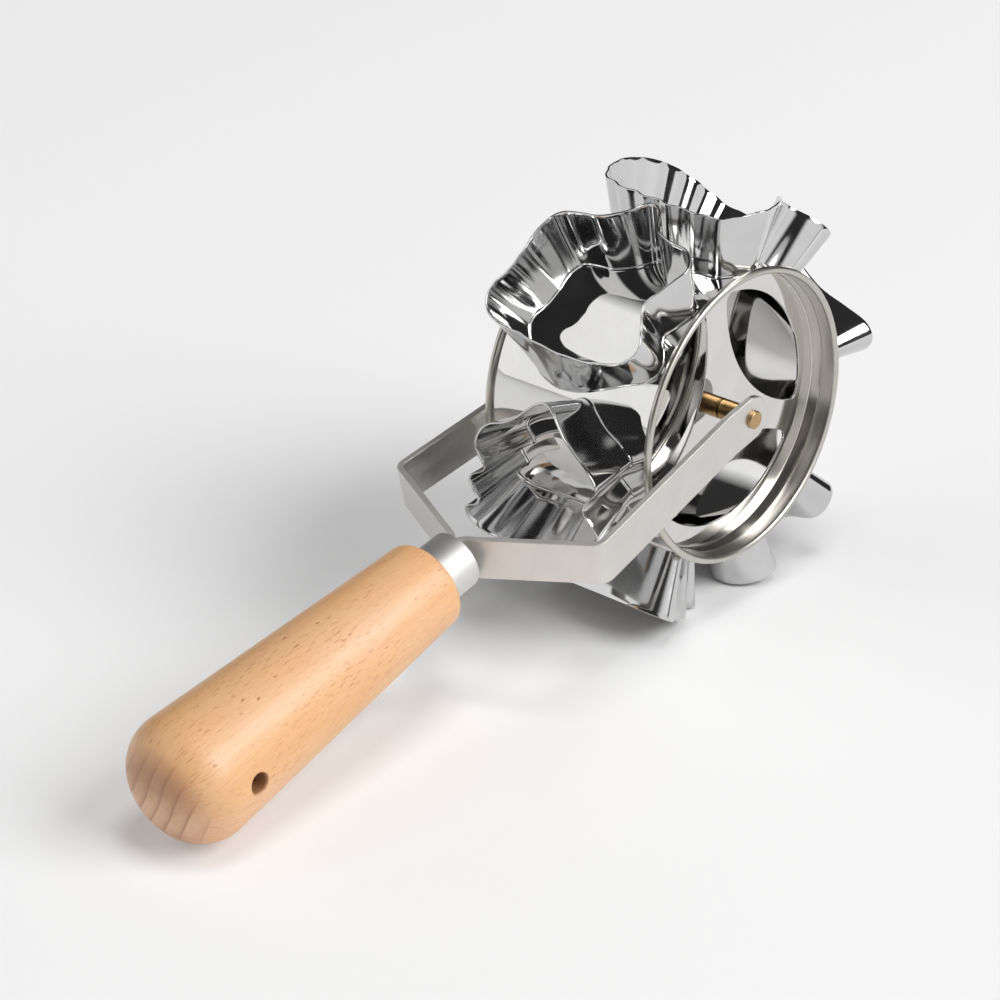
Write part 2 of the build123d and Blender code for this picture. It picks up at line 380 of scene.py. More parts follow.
def late_wood(tree, place):
    """Dark part of each growth ring, round a pith off to the upper left; 0 to 1."""
    aside, _, above = parts_of(tree, place)
    across = calc(tree, "ADD", aside, PITH_LEFT * MM)
    upward = calc(tree, "SUBTRACT", above, PITH_UP * MM)
    warp = noise(tree, place, (26, 6, 26), 3.0)
    bent = calc(tree, "MULTIPLY_ADD", warp, RING_WARP * MM, flat_length(tree, across, upward))
    ring = calc(tree, "FRACT", calc(tree, "MULTIPLY", bent, 1 / (RING_STEP * MM)))
    return ramp(tree, ring, (0.0, 0.35), (0.1, 0.0), (0.6, 0.08), (0.88, 0.45), (0.97, 1.0), (1.0, 0.8))


def dashes(tree, across, along, cell, width, kept):
    """Short marks in some cells of a chart, with cells of this size in millimetres; 0 to 1."""
    chart = node(tree, "CombineXYZ", (0, across), (1, along))
    cells_at = node(tree, "Mapping", (0, chart.outputs[0]))
    cells_at.inputs["Scale"].default_value = (1000 / cell[0], 1000 / cell[1], 1)
    cells = node(tree, "TexVoronoi", (0, cells_at.outputs[0]), voronoi_dimensions="2D", Scale=1.0,
                 Randomness=1.0)
    chosen = node(tree, "SeparateColor", (0, cells.outputs["Color"])).outputs[0]
    near = span(tree, cells.outputs["Distance"], 1.0, 0.0, width * 0.5, width)
    return calc(tree, "MULTIPLY", near, span(tree, chosen, 0.0, 1.0, kept, kept + 0.25))


def grain_marks(tree, place):
    """Fine and broad marks on a flat chart of the grip: way round it and way along it; both 0 to 1."""
    aside, along, above = parts_of(tree, place)
    way_round = calc(tree, "MULTIPLY", calc(tree, "ARCTAN2", above, aside), CHART_RADIUS * MM)
    slant = calc(tree, "MULTIPLY_ADD", along, GRAIN_SLANT, way_round)
    wobble = noise(tree, place, (300, 260, 300))
    uneven = calc(tree, "MULTIPLY_ADD", wobble, MARK_WOBBLE * MM, slant)
    long_ones = dashes(tree, slant, along, cell=(0.85, 10.5), width=0.15, kept=0.25)
    short_ones = dashes(tree, slant, along, cell=(0.5, 5.0), width=0.17, kept=0.45)
    patches = span(tree, noise(tree, place, (110, 40, 110), 3.0), 0.25, 1.0, 0.38, 0.6)
    fine = calc(tree, "MULTIPLY", calc(tree, "MAXIMUM", long_ones, short_ones), patches)
    broad = dashes(tree, uneven, along, cell=(3.0, 7.5), width=0.115, kept=0.35)
    upper = span(tree, above, 0.15, 1.0, FLECKED_FROM * MM, FLECKED_FULLY * MM)
    groups = span(tree, noise(tree, place, (95, 70, 95), 1.0), 0.0, 1.0, 0.46, 0.56)
    return fine, calc(tree, "MULTIPLY", broad, calc(tree, "MULTIPLY", upper, groups))


def end_grain(tree, place, late):
    """Colour of the end face: clouds, a stain towards the top, rings and pores."""
    above = parts_of(tree, place)[2]
    clouds = noise(tree, place, (110, 60, 110), 3.0)
    soaked = calc(tree, "MULTIPLY_ADD", clouds, STAIN_WARP * MM, above)
    stain = span(tree, soaked, 0.0, 0.75, STAIN_FROM * MM, STAIN_FULL * MM)
    tone = blend(tree, stain, ramp(tree, clouds, *END_TONES), STAIN_TONE)
    tone = blend(tree, span(tree, late, 0.0, 0.85), tone, END_LATE_TONE)
    pores = noise(tree, place, (2400, 300, 2400))
    return blend(tree, span(tree, pores, 0.0, 0.35, 0.5, 0.75), tone, PORE_TONE)


def beech(name):
    """Oiled beech: growth rings as a solid pattern, marks along the grain, end grain and painted shade in
    the bore of the hanging hole.
    """
    material, tree, shader = new_material(name)
    place = local(tree, HANDLE_FRAME)
    late = late_wood(tree, place)
    fine, broad = grain_marks(tree, place)
    fibre = noise(tree, place, (1500, 60, 1500), 3.0, 0.6)
    tone = ramp(tree, noise(tree, place, (60, 22, 60), 3.0), *SIDE_TONES)
    tone = blend(tree, span(tree, late, 0.0, 0.2), tone, LATE_TONE)
    tone = blend(tree, span(tree, fibre, 0.0, 0.35, 0.48, 0.8), tone, FIBRE_TONE)
    tone = blend(tree, span(tree, fine, 0.0, 0.8), tone, FINE_MARK_TONE)
    tone = blend(tree, span(tree, broad, 0.0, 0.85), tone, BROAD_MARK_TONE)
    # end grain where the surface faces back along the handle
    normal = node(tree, "TexCoord").outputs["Normal"]
    facing = part_along(tree, normal, (0, -math.cos(tilt), -math.sin(tilt)))
    at_end = span(tree, facing, 0.0, 1.0, 0.60, 0.90)
    tone = blend(tree, at_end, tone, end_grain(tree, place, late))
    # painted shade in the bore of the hanging hole, fading out over its worn mouths
    _, along, above = parts_of(tree, place)
    from_hole = flat_length(tree, calc(tree, "ADD", along, hole_place * MM), above)
    tone = blend(tree, span(tree, from_hole, 0.9, 0.0, HOLE * MM, (HOLE + WORN) * MM), tone, HOLE_SHADE_TONE)
    tree.links.new(tone, shader.inputs["Base Color"])
    shader.inputs["Coat Weight"].default_value = 0.35
    shader.inputs["Coat Roughness"].default_value = 0.3
    tree.links.new(span(tree, fibre, 0.38, 0.55, 0.3, 0.7), shader.inputs["Roughness"])
    bump(tree, shader, calc(tree, "SUBTRACT", broad, fibre), 0.12, -GRAIN_RELIEF)
    return material


WOOD = beech("beech")
MIRROR_DRUM = mirror_steel("polished_drum", (0.765, 0.76, 0.75), 0.035, 0.04)
MIRROR_WEB = mirror_steel("polished_web", (0.73, 0.72, 0.705), 0.045, 0.03, WEB_SATIN_FROM)
MIRROR_CUTTER = mirror_steel("polished_cutter", (0.64, 0.64, 0.64), 0.085, 0.06)
RIM_STEEL = round_brushed("satin_rim", (0.565, 0.54, 0.50), 0.31, 0, DRUM_FRAME, 0.01)
FORK_STEEL = satin_steel("satin_fork", (0.70, 0.68, 0.655), 0.36, (900, 45, 900))
ALUMINIUM = round_brushed("satin_ferrule", (0.72, 0.715, 0.705), 0.58, 1, HANDLE_FRAME, 0.008)
BRASS = round_brushed("turned_brass", (0.50, 0.345, 0.175), 0.26, 0, DRUM_FRAME, 0.08)
# A darker copy of the brass with painted shade, for the sleeves in the recess between the web and the
# fork's arm
SHADED_BRASS = round_brushed("brass_painted_shade", (0.36, 0.225, 0.095), 0.3, 0, DRUM_FRAME, 0.08)
WASHER_STEEL = round_brushed("washer_steel", (0.62, 0.61, 0.59), 0.3, 0, DRUM_FRAME, 0.08)


# Mesh helpers, with all sizes in millimetres

def new_mesh(name, verts, faces, place, smooth=True, weld=False):
    """A mesh in the scene's frame with its faces turned outwards."""
    mesh = bpy.data.meshes.new(name)
    mesh.from_pydata([place @ (Vector(v) * MM) for v in verts], [], faces)
    work = bmesh.new()
    work.from_mesh(mesh)
    if weld:
        bmesh.ops.remove_doubles(work, verts=work.verts, dist=0.002 * MM)
    bmesh.ops.recalc_face_normals(work, faces=work.faces)
    for face in work.faces:
        face.smooth = smooth
    work.to_mesh(mesh)
    work.free()
    return mesh


def add_object(name, data):
    made = bpy.data.objects.new(name, data)
    bpy.context.scene.collection.objects.link(made)
    return made


def add_piece(name, verts, faces, body, stands_for, material, place, weld=False):
    """A smooth shaded mesh that stands for one solid and rides on its body."""
    mesh = new_mesh(name, verts, faces, place, weld=weld)
    mesh.materials.append(material)
    made = add_object(name, mesh)
    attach(made, body)
    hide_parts(stands_for)
    return made


def add_pair(name, verts, faces, body, stands_for, material, place, weld=False):
    """A piece on the right and its mirror image on the left."""
    mirrored = [(-x, y, z) for x, y, z in verts]
    return [add_piece(name + side, points, faces, body, stands_for + side, material, place, weld)
            for side, points in (("right", verts), ("left", mirrored))]


def arc(centre, radius, start, sweep, steps):
    """Points on an arc with both its ends; a negative radius starts on the other side of the centre."""
    angles = [start + sweep * k / steps for k in range(steps + 1)]
    return [(centre[0] + radius * math.cos(a), centre[1] + radius * math.sin(a)) for a in angles]


def circle(radius, segments):
    return arc((0, 0), radius, 0, 2 * math.pi, segments)[:-1]


def pairs(items, closed=True):
    """Neighbours along a list; a closed one also goes from its end to its start."""
    return zip(items, items[1:] + items[:1] if closed else items[1:])


def rounded(points, radii, closed=False, steps=7):
    """Points along a polyline whose corners are rounded; a radius of 0 keeps a corner."""
    points = [np.array(p, float) for p in points]
    out = []
    count = len(points)
    for i, p in enumerate(points):
        radius = radii[i]
        if radius == 0 or (not closed and i in (0, count - 1)):
            out.append(p)
            continue
        a = points[i - 1] - p
        b = points[(i + 1) % count] - p
        a /= np.linalg.norm(a)
        b /= np.linalg.norm(b)
        half = math.acos(np.clip(a @ b, -1.0, 1.0)) / 2
        run = radius / math.tan(half)
        middle = a + b
        centre = p + middle / np.linalg.norm(middle) * radius / math.sin(half)
        start = p + a * run - centre
        stop = p + b * run - centre
        turn = math.acos(np.clip(start @ stop / radius ** 2, -1.0, 1.0))
        for k in range(steps + 1):
            f = k / steps
            w = (math.sin((1 - f) * turn) * start + math.sin(f * turn) * stop) / math.sin(turn)
            out.append(centre + w)
    return [tuple(p) for p in out]


def divided(points, step, closed=False):
    """The same polyline with no run longer than one step."""
    out = []
    for p, q in pairs(points, closed):
        run = math.dist(p, q)
        parts = max(1, math.ceil(run / step))
        for k in range(parts):
            out.append(tuple(a + (b - a) * k / parts for a, b in zip(p, q)))
    if not closed:
        out.append(points[-1])
    return out


def band(a, b):
    """Faces between two rings of points; a ring on the axis is a single point."""
    segments = max(len(a), len(b))
    faces = []
    for k in range(segments):
        n = (k + 1) % segments
        if len(a) == 1:
            faces.append((a[0], b[k], b[n]))
        elif len(b) == 1:
            faces.append((a[k], b[0], a[n]))
        else:
            faces.append((a[k], b[k], b[n], a[n]))
    return faces


def lathe(profile, axis, segments, closed):
    """Surface of revolution of (place, radius) points; a closed profile joins up with its start."""
    verts = []
    rings = []
    for place, radius in profile:
        ring = [(0, 0)] if radius < 1e-6 else circle(radius, segments)
        rings.append(range(len(verts), len(verts) + len(ring)))
        verts += [(place, u, v) if axis == "x" else (u, place, v) for u, v in ring]
    faces = []
    for a, b in pairs(rings, closed):
        faces += band(a, b)
    return verts, faces


def edge_faces(loop, offset):
    """Faces between a closed loop of points and its copy, so many points further on."""
    return [(a, b, offset + b, offset + a) for a, b in pairs(loop)]


def cut_away(target, verts, faces, place):
    """Take a tool's shape out of a piece, once and for all."""
    tool = add_object("tool", new_mesh("tool", verts, faces, place, smooth=False))
    change = target.modifiers.new("cut", "BOOLEAN")
    change.operation = "DIFFERENCE"
    change.solver = "EXACT"
    change.object = tool
    bpy.context.view_layer.update()
    shaped = bpy.data.meshes.new_from_object(target.evaluated_get(bpy.context.evaluated_depsgraph_get()))
    target.modifiers.clear()
    target.data = shaped
    bpy.data.objects.remove(tool)


def block(low, high):
    verts = [(x, y, z) for x in (low[0], high[0]) for y in (low[1], high[1]) for z in (low[2], high[2])]
    return verts, [(0, 1, 3, 2), (4, 6, 7, 5), (0, 4, 5, 1), (2, 3, 7, 6), (0, 2, 6, 4), (1, 5, 7, 3)]


def soften(made, width, segments=2, angle=40):
    """Broken edges: a small round on every edge sharper than an angle in degrees."""
    change = made.modifiers.new("edges", "BEVEL")
    change.width = width * MM
    change.segments = segments
    change.limit_method = "ANGLE"
    change.angle_limit = math.radians(angle)
    change.harden_normals = True
    change.use_clamp_overlap = True
    made.data.set_sharp_from_angle(angle=math.radians(angle))


# Drum

tube_bore = DRUM - TUBE_WALL
tube_end = HALF - 2 * BEAD - SEAT
corners = [(-tube_end, DRUM), (tube_end, DRUM), (tube_end, tube_bore), (-tube_end, tube_bore)]
profile = rounded(corners, [TUBE_EDGE] * 4, closed=True, steps=3)
verts, faces = lathe(divided(profile, step=3.0, closed=True), "x", DRUM_SEGMENTS, closed=True)
add_piece("drum_shell", verts, faces, "drum", "drum_tube", MIRROR_DRUM, DRUM_FRAME)

web_face = HALF - WEB_DEPTH
web_back = web_face - WEB_SHEET
sleeve_start = web_face + WEB_FLANGE + SEAT
sleeve_out = tube_bore - SEAT
sleeve_in = sleeve_out - RIM_WALL
bead_place = HALF - BEAD
corners = [(sleeve_start, sleeve_out), (sleeve_start, sleeve_in), (bead_place - BEAD_LEAD, sleeve_in)]
profile = rounded(corners, [0, TUBE_EDGE, 0], steps=3)
start_angle = -math.pi / 2
stop_angle = math.pi + math.asin((DRUM - sleeve_out) / BEAD)
profile += arc((bead_place, DRUM), BEAD, start_angle, stop_angle - start_angle, BEAD_STEPS)
verts, faces = lathe(divided(profile, step=1.5, closed=True), "x", DRUM_SEGMENTS, closed=True)
add_pair("rim_bead_", verts, faces, "drum", "rim_ring_", RIM_STEEL, DRUM_FRAME)


def window_outline():
    """One window of a web, along the first axis: two arcs with rounded corners."""
    outer = sleeve_out - WEB_MARGIN
    far = HUB + WINDOW_ARC
    a, b = outer - WINDOW_CORNER, WINDOW_ARC - WINDOW_CORNER
    x = (far ** 2 + a ** 2 - b ** 2) / (2 * far)
    y = math.sqrt(a ** 2 - x ** 2)
    lean = math.atan2(y, x)
    slant = math.atan2(y, far - x)
    corner_sweep = math.pi - slant - lean
    points = arc((0, 0), outer, -lean, 2 * lean, ARC_STEPS)
    points += arc((x, y), WINDOW_CORNER, lean, corner_sweep, CORNER_STEPS)[1:]
    points += arc((far, 0), -WINDOW_ARC, -slant, 2 * slant, ARC_STEPS)[1:]
    points += arc((x, -y), WINDOW_CORNER, math.pi + slant, corner_sweep, CORNER_STEPS)[1:-1]
    return points


def inside(point, polygon):
    hit = False
    for (x1, y1), (x2, y2) in pairs(polygon):
        if (y1 > point[1]) != (y2 > point[1]) and point[0] < (x2 - x1) * (point[1] - y1) / (y2 - y1) + x1:
            hit = not hit
    return hit


def web_holes():
    """Openings in the floor of a web: the hole for the pin, and the windows."""
    holes = [circle(PIN + RUNNING, HUB_HOLE_SEGMENTS)]
    for k in range(WINDOWS):
        turn = math.radians(WINDOW_TURN + 360 / WINDOWS * k)
        holes.append([(x * math.cos(turn) - y * math.sin(turn), x * math.sin(turn) + y * math.cos(turn))
                      for x, y in window_outline()])
    return holes


def pierced_disc(radius, holes):
    """Points and triangles of a flat round sheet with holes; the sheet's edge comes first."""
    flat_points = []
    edges = []
    for loop in [circle(radius, WEB_SEGMENTS)] + holes:
        first = len(flat_points)
        flat_points += loop
        edges += pairs(list(range(first, len(flat_points))))
    made = delaunay_2d_cdt([Vector(p) for p in flat_points], edges, [], 0, 1e-5)
    points = [(p.x, p.y) for p in made[0]]
    faces = []
    for face in made[2]:
        middle = (sum(points[i][0] for i in face) / 3, sum(points[i][1] for i in face) / 3)
        if math.hypot(*middle) < radius and not any(inside(middle, hole) for hole in holes):
            faces.append(tuple(face))
    return points, faces


def end_web():
    """Pressed cup: a pierced flat floor, a rounded corner and a flange."""
    flat = sleeve_out - WEB_CORNER
    holes = web_holes()
    points, floor_faces = pierced_disc(flat, holes)
    count = len(points)
    verts = [(web_face, y, z) for y, z in points] + [(web_back, y, z) for y, z in points]
    faces = floor_faces + [tuple(count + i for i in reversed(f)) for f in floor_faces]
    first = WEB_SEGMENTS
    for loop in holes:
        faces += edge_faces(list(range(first, first + len(loop))), count)
        first += len(loop)
    flange_in = sleeve_out - WEB_SHEET
    lip = web_face + WEB_FLANGE
    corners = [(web_face, flat), (web_face, flange_in), (lip, flange_in), (lip, sleeve_out),
               (web_back, sleeve_out), (web_back, flat)]
    inner_round = WEB_CORNER - WEB_SHEET - CORNER_SLACK
    radii = [0, inner_round, WEB_LIP, WEB_LIP, WEB_CORNER - CORNER_SLACK, 0]
    skirt_verts, skirt_faces = lathe(rounded(corners, radii, steps=5), "x", WEB_SEGMENTS, closed=False)
    base = len(verts)
    verts += skirt_verts
    faces += [tuple(base + i for i in f) for f in skirt_faces]
    return verts, faces


verts, faces = end_web()
for made in add_pair("web_disc_", verts, faces, "drum", "end_web_", MIRROR_WEB,
                     DRUM_FRAME, weld=True):
    soften(made, WEB_EDGE)


# Cutters: outlines as (way across, degrees round the drum at the edge, and at the foot where that differs)

# The way across is on a grid with 27 squares from the middle of a cutter to its side, as in the solids
GRID = 27
LEAF = [(3.4, 23.6), (0, 19), (-4, 14.5), (-9, 12.5), (-17, 10.5), (-19.5, 4.5), (-19.5, -4.5), (-21, -12),
        (-23.2, -18.5), (-20.5, -23, -27), (-12, -25.3, -37), (2, -26.8, -38.5), (14, -27, -33),
        (23, -25.3, -28), (28, -22.5, -24), (28.3, -16), (24.8, -9), (27.5, -2), (29.6, 4.6), (27.6, 9),
        (20, 11.9), (14.4, 13.4), (10.2, 17.8), (6.8, 22.3)]
TREE = [(5.5, 20), (1, 17.5), (-7, 11.4), (-12, 9.5), (-16, 5), (-16.5, 1), (-14, -3.8), (-19, -7.5),
        (-20.2, -11), (-18.8, -16.4), (-24, -20), (-26, -24), (-23.5, -30), (-12, -31.5), (4, -31.5),
        (18, -31), (25, -26), (20.5, -19), (24.5, -12.5), (20.8, -5.5), (25.5, 1.5), (20, 8.2),
        (13.5, 13.3)]
BELL = [(20, 8.8), (0, 8.2), (-20, 8.8), (-27, 6), (-25, -2), (-20.5, -12), (-17, -20), (-12, -26),
        (0, -28), (12, -26.5), (14, -22), (18, -19.5), (17.5, -15), (21.5, -11), (24.7, -2.6), (27, 4)]
MITTEN = [(3, 30), (-10.7, 28.8), (-17.5, 25.8), (-20.8, 19.5), (-23, 11), (-24, 0), (-24.3, -10),
          (-23.8, -17.4), (-21.5, -25), (-18.5, -30), (-11.5, -33.2), (-1, -34.4), (9.4, -35.1),
          (18, -35.2), (26, -33.6), (29, -28.5), (30.4, -23.5), (28.5, -16), (21, -4), (13.5, 6),
          (12.5, 12.5), (16.3, 16.1), (20.3, 20.5), (20, 26), (12, 29.5)]
HALF_FIGURE = [(0, 14.5), (-4.5, 17.8), (-8, 22.7), (-12.5, 24.7), (-17, 24.6), (-22, 21.5), (-24.6, 17),
               (-24.6, 13), (-21.7, 10), (-16, 6.6), (-14.8, 1.5), (-16.5, -3), (-21.5, -4.6),
               (-25.6, -6.6), (-27, -11.5), (-25.6, -15.6), (-22.5, -17), (-17.8, -16.8), (-11, -15.3),
               (-7, -16), (-8.3, -20), (-6, -25), (0, -27)]
HALF_HEART = [(-14.5, 0), (-19.5, -6.5), (-21.5, -13.5), (-19, -20.5), (-13, -24.5), (-6, -24), (0, -20.5),
              (4, -17), (10, -10.6), (15.5, -8.2), (20.5, -6.2), (24.5, -4.4), (26.3, -2.4), (27, 0)]


def whole(half, turn_across, turn_round):
    """A symmetric outline from its first half; the half's ends lie on the line of symmetry."""
    return half + [(turn_across * across, turn_round * place) for across, place in reversed(half[1:-1])]


# Outline and strength of the pleats, in the order round the drum
CUTTERS = {
    "leaf": (LEAF, 1.0),
    "tree": (TREE, 0.3),
    "bell": (BELL, 0.25),
    "figure": (whole(HALF_FIGURE, -1, 1), 0.25),
    "heart": (whole(HALF_HEART, 1, -1), 0.25),
    "mitten": (MITTEN, 2.0),
}
# Pleats as (length of a wave, depth), and the share of their depth that is left at the foot
PLEATS = ((9.5, 0.10), (5.2, 0.022))
FOOT_PLEATS = 0.5
# Beaded foot as (height over the drum, share of HEM); rounded edge as (rise, depth in the sheet)
FOOT_ROWS = ((0.0, 1.0), (0.12, 0.72), (0.3, 0.3), (0.5, 0.08), (0.7, 0.0))
EDGE_ROWS = ((0.12, 0.05), (0.18, 0.14), (BLADE_EDGE, SHEET / 2), (0.18, 0.41), (0.12, 0.5))
FIRST_ROW = 0.06
half_width = HALF - INSET
# The walls' lines run between two planes, one inside the drum and one past the edge
root = 0.7 * DRUM
crown = CUT + STRIP_SHEET
foot_radius = DRUM + SEAT
wall_rise = CUT - BLADE_EDGE - foot_radius


def wall_points(outline, distance):
    """Where the wall's straight lines, from the drum to the edge, meet a plane so far from the axle."""
    points = []
    for across, round_edge, *lean in outline:
        edge = math.radians(round_edge)
        foot = math.radians(lean[0] if lean else round_edge)
        edge_out, foot_out = CUT * math.cos(edge), DRUM * math.cos(foot)
        share = (distance - foot_out) / (edge_out - foot_out)
        foot_round, edge_round = DRUM * math.sin(foot), CUT * math.sin(edge)
        width = half_width + FLARE * (share - 1)
        points.append((across * width / GRID, foot_round + share * (edge_round - foot_round)))
    return np.array(points)


def closed_spline(points, per_span):
    """Points along a closed cubic spline by chord length, the same number in every span."""
    n = len(points)
    after = np.roll(points, -1, axis=0)
    h = np.linalg.norm(after - points, axis=1)
    before = np.roll(h, 1)
    system = np.zeros((n, n))
    right = np.zeros((n, 2))
    for i in range(n):
        system[i, i - 1] += before[i]
        system[i, i] += 2 * (before[i] + h[i])
        system[i, (i + 1) % n] += h[i]
        right[i] = 6 * ((after[i] - points[i]) / h[i] - (points[i] - points[i - 1]) / before[i])
    bend = np.linalg.solve(system, right)
    out = []
    for i in range(n):
        m0, m1 = bend[i], bend[(i + 1) % n]
        p0, p1 = points[i], after[i]
        for k in range(per_span):
            t = h[i] * k / per_span
            s = h[i] - t
            out.append(m0 * s ** 3 / (6 * h[i]) + m1 * t ** 3 / (6 * h[i])
                       + (p0 / h[i] - m0 * h[i] / 6) * s + (p1 / h[i] - m1 * h[i] / 6) * t)
    return np.array(out)


def pleat_depths(edge, pleating):
    """Shallow waves along a cutter's edge; the edge's length decides the random draw."""
    runs = np.linalg.norm(np.roll(edge, -1, axis=0) - edge, axis=1)
    length = runs.sum()
    along_edge = np.concatenate(([0], np.cumsum(runs)[:-1]))
    random = np.random.default_rng(int(round(length * 10)))
    depths = np.zeros(len(edge))
    for wave, depth in PLEATS:
        count = max(1, round(length / wave))
        for near in (count - 1, count, count + 2):
            depths += pleating * depth * random.uniform(0.4, 1.0) * np.sin(
                2 * math.pi * near * along_edge / length + random.uniform(0, 2 * math.pi))
    return depths


def at_radius(start, way, radius):
    """Where straight lines meet a cylinder about the axle."""
    a = way[:, 1] ** 2 + way[:, 2] ** 2
    b = start[:, 1] * way[:, 1] + start[:, 2] * way[:, 2]
    c = start[:, 1] ** 2 + start[:, 2] ** 2 - radius ** 2
    q = (-b + np.sqrt(b * b - a * c)) / a
    return start + way * q[:, None]


def inward(points, way):
    """Unit vectors across the sheet, towards the inside of the outline."""
    along = np.roll(points, -1, axis=0) - np.roll(points, 1, axis=0)
    cross = np.cross(along, way)
    cross /= np.linalg.norm(cross, axis=1)[:, None]
    area = np.sum(points[:, 0] * np.roll(points[:, 1], -1) - np.roll(points[:, 0], -1) * points[:, 1])
    return -cross if area > 0 else cross


def cutter_rows(outline, pleating):
    """Closed rows of points up the wall outside, over the edge and down the wall inside."""
    per_span = max(10, round(CUTTER_POINTS / len(outline)))
    low = closed_spline(wall_points(outline, root), per_span)
    high = closed_spline(wall_points(outline, crown), per_span)
    start = np.column_stack((low, np.full(len(low), root)))
    way = np.column_stack((high, np.full(len(high), crown))) - start
    pleats = pleat_depths(high, pleating)

    def wall(radius, depth, hem=0.0):
        """One row of the wall, so deep in the strip, with its pleats and the bead of its foot."""
        points = at_radius(start, way, radius)
        share = FOOT_PLEATS + (1 - FOOT_PLEATS) * min(1.0, (radius - foot_radius) / wall_rise)
        points = points + inward(points, way) * (depth + hem + share * pleats)[:, None]
        points[:, 1:] *= np.minimum(1.0, CUT / np.hypot(points[:, 1], points[:, 2]))[:, None]
        return points

    shares = [FIRST_ROW + (1 - FIRST_ROW) * k / WALL_ROWS for k in range(WALL_ROWS + 1)]
    rows = [wall(foot_radius + lift, 0.0, -HEM * part) for lift, part in FOOT_ROWS]
    rows += [wall(foot_radius + wall_rise * share, 0.0) for share in shares]
    rows += [wall(CUT - BLADE_EDGE + lift, depth) for lift, depth in EDGE_ROWS]
    rows += [wall(foot_radius + wall_rise * share, SHEET) for share in reversed(shares)]
    rows += [wall(foot_radius + lift, SHEET, HEM * part) for lift, part in reversed(FOOT_ROWS)]
    return rows


def cutter_mesh(outline, pleating, turn):
    """A bent strip on the drum, turned to its place in degrees."""
    rows = cutter_rows(outline, pleating)
    angle = math.radians(turn)
    outward = np.array((0, -math.cos(angle), math.sin(angle)))
    around = np.array((0, math.sin(angle), math.cos(angle)))
    verts = [tuple(np.array((x, 0, 0)) + around * y + outward * z) for points in rows for x, y, z in points]
    n = len(rows[0])
    rings = [range(j * n, (j + 1) * n) for j in range(len(rows))]
    faces = []
    for a, b in pairs(rings):
        faces += band(a, b)
    return verts, faces


for index, (label, (outline, pleating)) in enumerate(CUTTERS.items()):
    verts, faces = cutter_mesh(outline, pleating, FIRST_TURN - 360 / len(CUTTERS) * index)
    made = add_piece("blade_" + label, verts, faces, "drum", "cutter_" + label,
                     MIRROR_CUTTER, DRUM_FRAME)
    made.data.set_sharp_from_angle(angle=math.radians(50))


# Pivots

def turned_ring(start, stop, outside, outside_edge):
    """A ring on the pin, from one place along the axle to another, with rounded edges."""
    bore = PIN + SEAT
    corners = [(start, bore), (start, outside), (stop, outside), (stop, bore)]
    profile = rounded(corners, [BORE_EDGE, outside_edge, outside_edge, BORE_EDGE], closed=True, steps=4)
    return lathe(divided(profile, step=0.9, closed=True), "x", PIN_SEGMENTS, closed=True)


arm_face = HALF + SIDE_GAP
arm_outside = arm_face + STRIP_SHEET
washer_back = web_back - PLAY - WASHER_SHEET
pin_back = washer_back - SEAT - PIN_RIVET
pin_shoulder = pin_back + PIN_RIVET
head_face = arm_outside + SEAT
head_outside = head_face + PIN_HEAD_HEIGHT
corners = [(pin_back, 0), (pin_back, PIN_HEAD), (pin_shoulder, PIN_HEAD), (pin_shoulder, PIN),
           (head_face, PIN), (head_face, PIN_HEAD), (head_outside, PIN_HEAD), (head_outside, 0)]
pin_edges = [0, 0.35, 0.1, 0.05, 0.05, 0.12, 0.38, 0]
profile = divided(rounded(corners, pin_edges, steps=5), step=0.8)
pin_mesh = lathe(profile, "x", PIN_SEGMENTS, closed=False)
spacer_mesh = turned_ring(web_face + PLAY, arm_face - SEAT, SPACER, SPACER_EDGE)
washer_mesh = turned_ring(washer_back, washer_back + WASHER_SHEET, WASHER, WASHER_EDGE)
# The sleeves take the darker brass, which is painted shade
for label, stands_for, (verts, faces), slot, material in (
        ("pin_", "pivot_pin_", pin_mesh, "pivot_brass", BRASS),
        ("sleeve_", "spacer_", spacer_mesh, "pivot_brass", SHADED_BRASS),
        ("disc_washer_", "pin_washer_", washer_mesh, "washer_steel", WASHER_STEEL)):
    add_pair(label, verts, faces, "frame", stands_for, material, DRUM_FRAME)


# Fork

# The eye's plate ends short of the first bend; its rings go from the hole to the outline
NECK_BACK = 2.0
NECK_GAP = 0.4
EYE_RINGS = (0.0, 0.25, 0.6, 1.0)


def arm_path():
    """Middle of a strip as (X, place along the handle) points, and the run along it to each."""
    tang = SEAT + STRIP_SHEET / 2
    middle = arm_face + STRIP_SHEET / 2
    corners = [(middle, -STRIP / 2), (middle, EYE_STRAIGHT), (middle + SPLAY, bend_place),
               (tang, ferrule_place - THROAT_LEAD), (tang, tang_end)]
    radii = [0, EYE_BEND, BEND - STRIP_SHEET / 2, THROAT_BEND + STRIP_SHEET / 2, 0]
    points = np.array(divided(rounded(corners, radii, steps=14), step=2.0))
    runs = np.concatenate(([0], np.cumsum(np.linalg.norm(np.diff(points, axis=0), axis=1))))
    return points, runs


def eye_outline(half, neck):
    """Flat outline of the eye's plate: the round end, one side, the neck and the other side."""
    side = [half + (neck - half) * k / SIDE_STEPS for k in range(1, SIDE_STEPS)]
    outline = arc((half, 0), half, math.pi / 2, math.pi, EYE_STEPS)
    outline += [(along, -half) for along in side]
    outline += [(neck, -half + STRIP * k / COLUMNS) for k in range(COLUMNS + 1)]
    outline += [(along, half) for along in reversed(side)]
    return outline


def eye_plate(outline, half):
    """Points and faces from the pin's hole to an outline; the outline comes last."""
    count = len(outline)
    flat = []
    for share in EYE_RINGS:
        for u, w in outline:
            angle = math.atan2(w, u - half)
            hole_u, hole_w = half + (PIN + SEAT) * math.cos(angle), (PIN + SEAT) * math.sin(angle)
            flat.append((hole_u + (u - hole_u) * share, hole_w + (w - hole_w) * share))
    faces = []
    for j in range(len(EYE_RINGS) - 1):
        for k in range(count):
            m = (k + 1) % count
            faces.append((j * count + k, j * count + m, (j + 1) * count + m, (j + 1) * count + k))
    return flat, faces


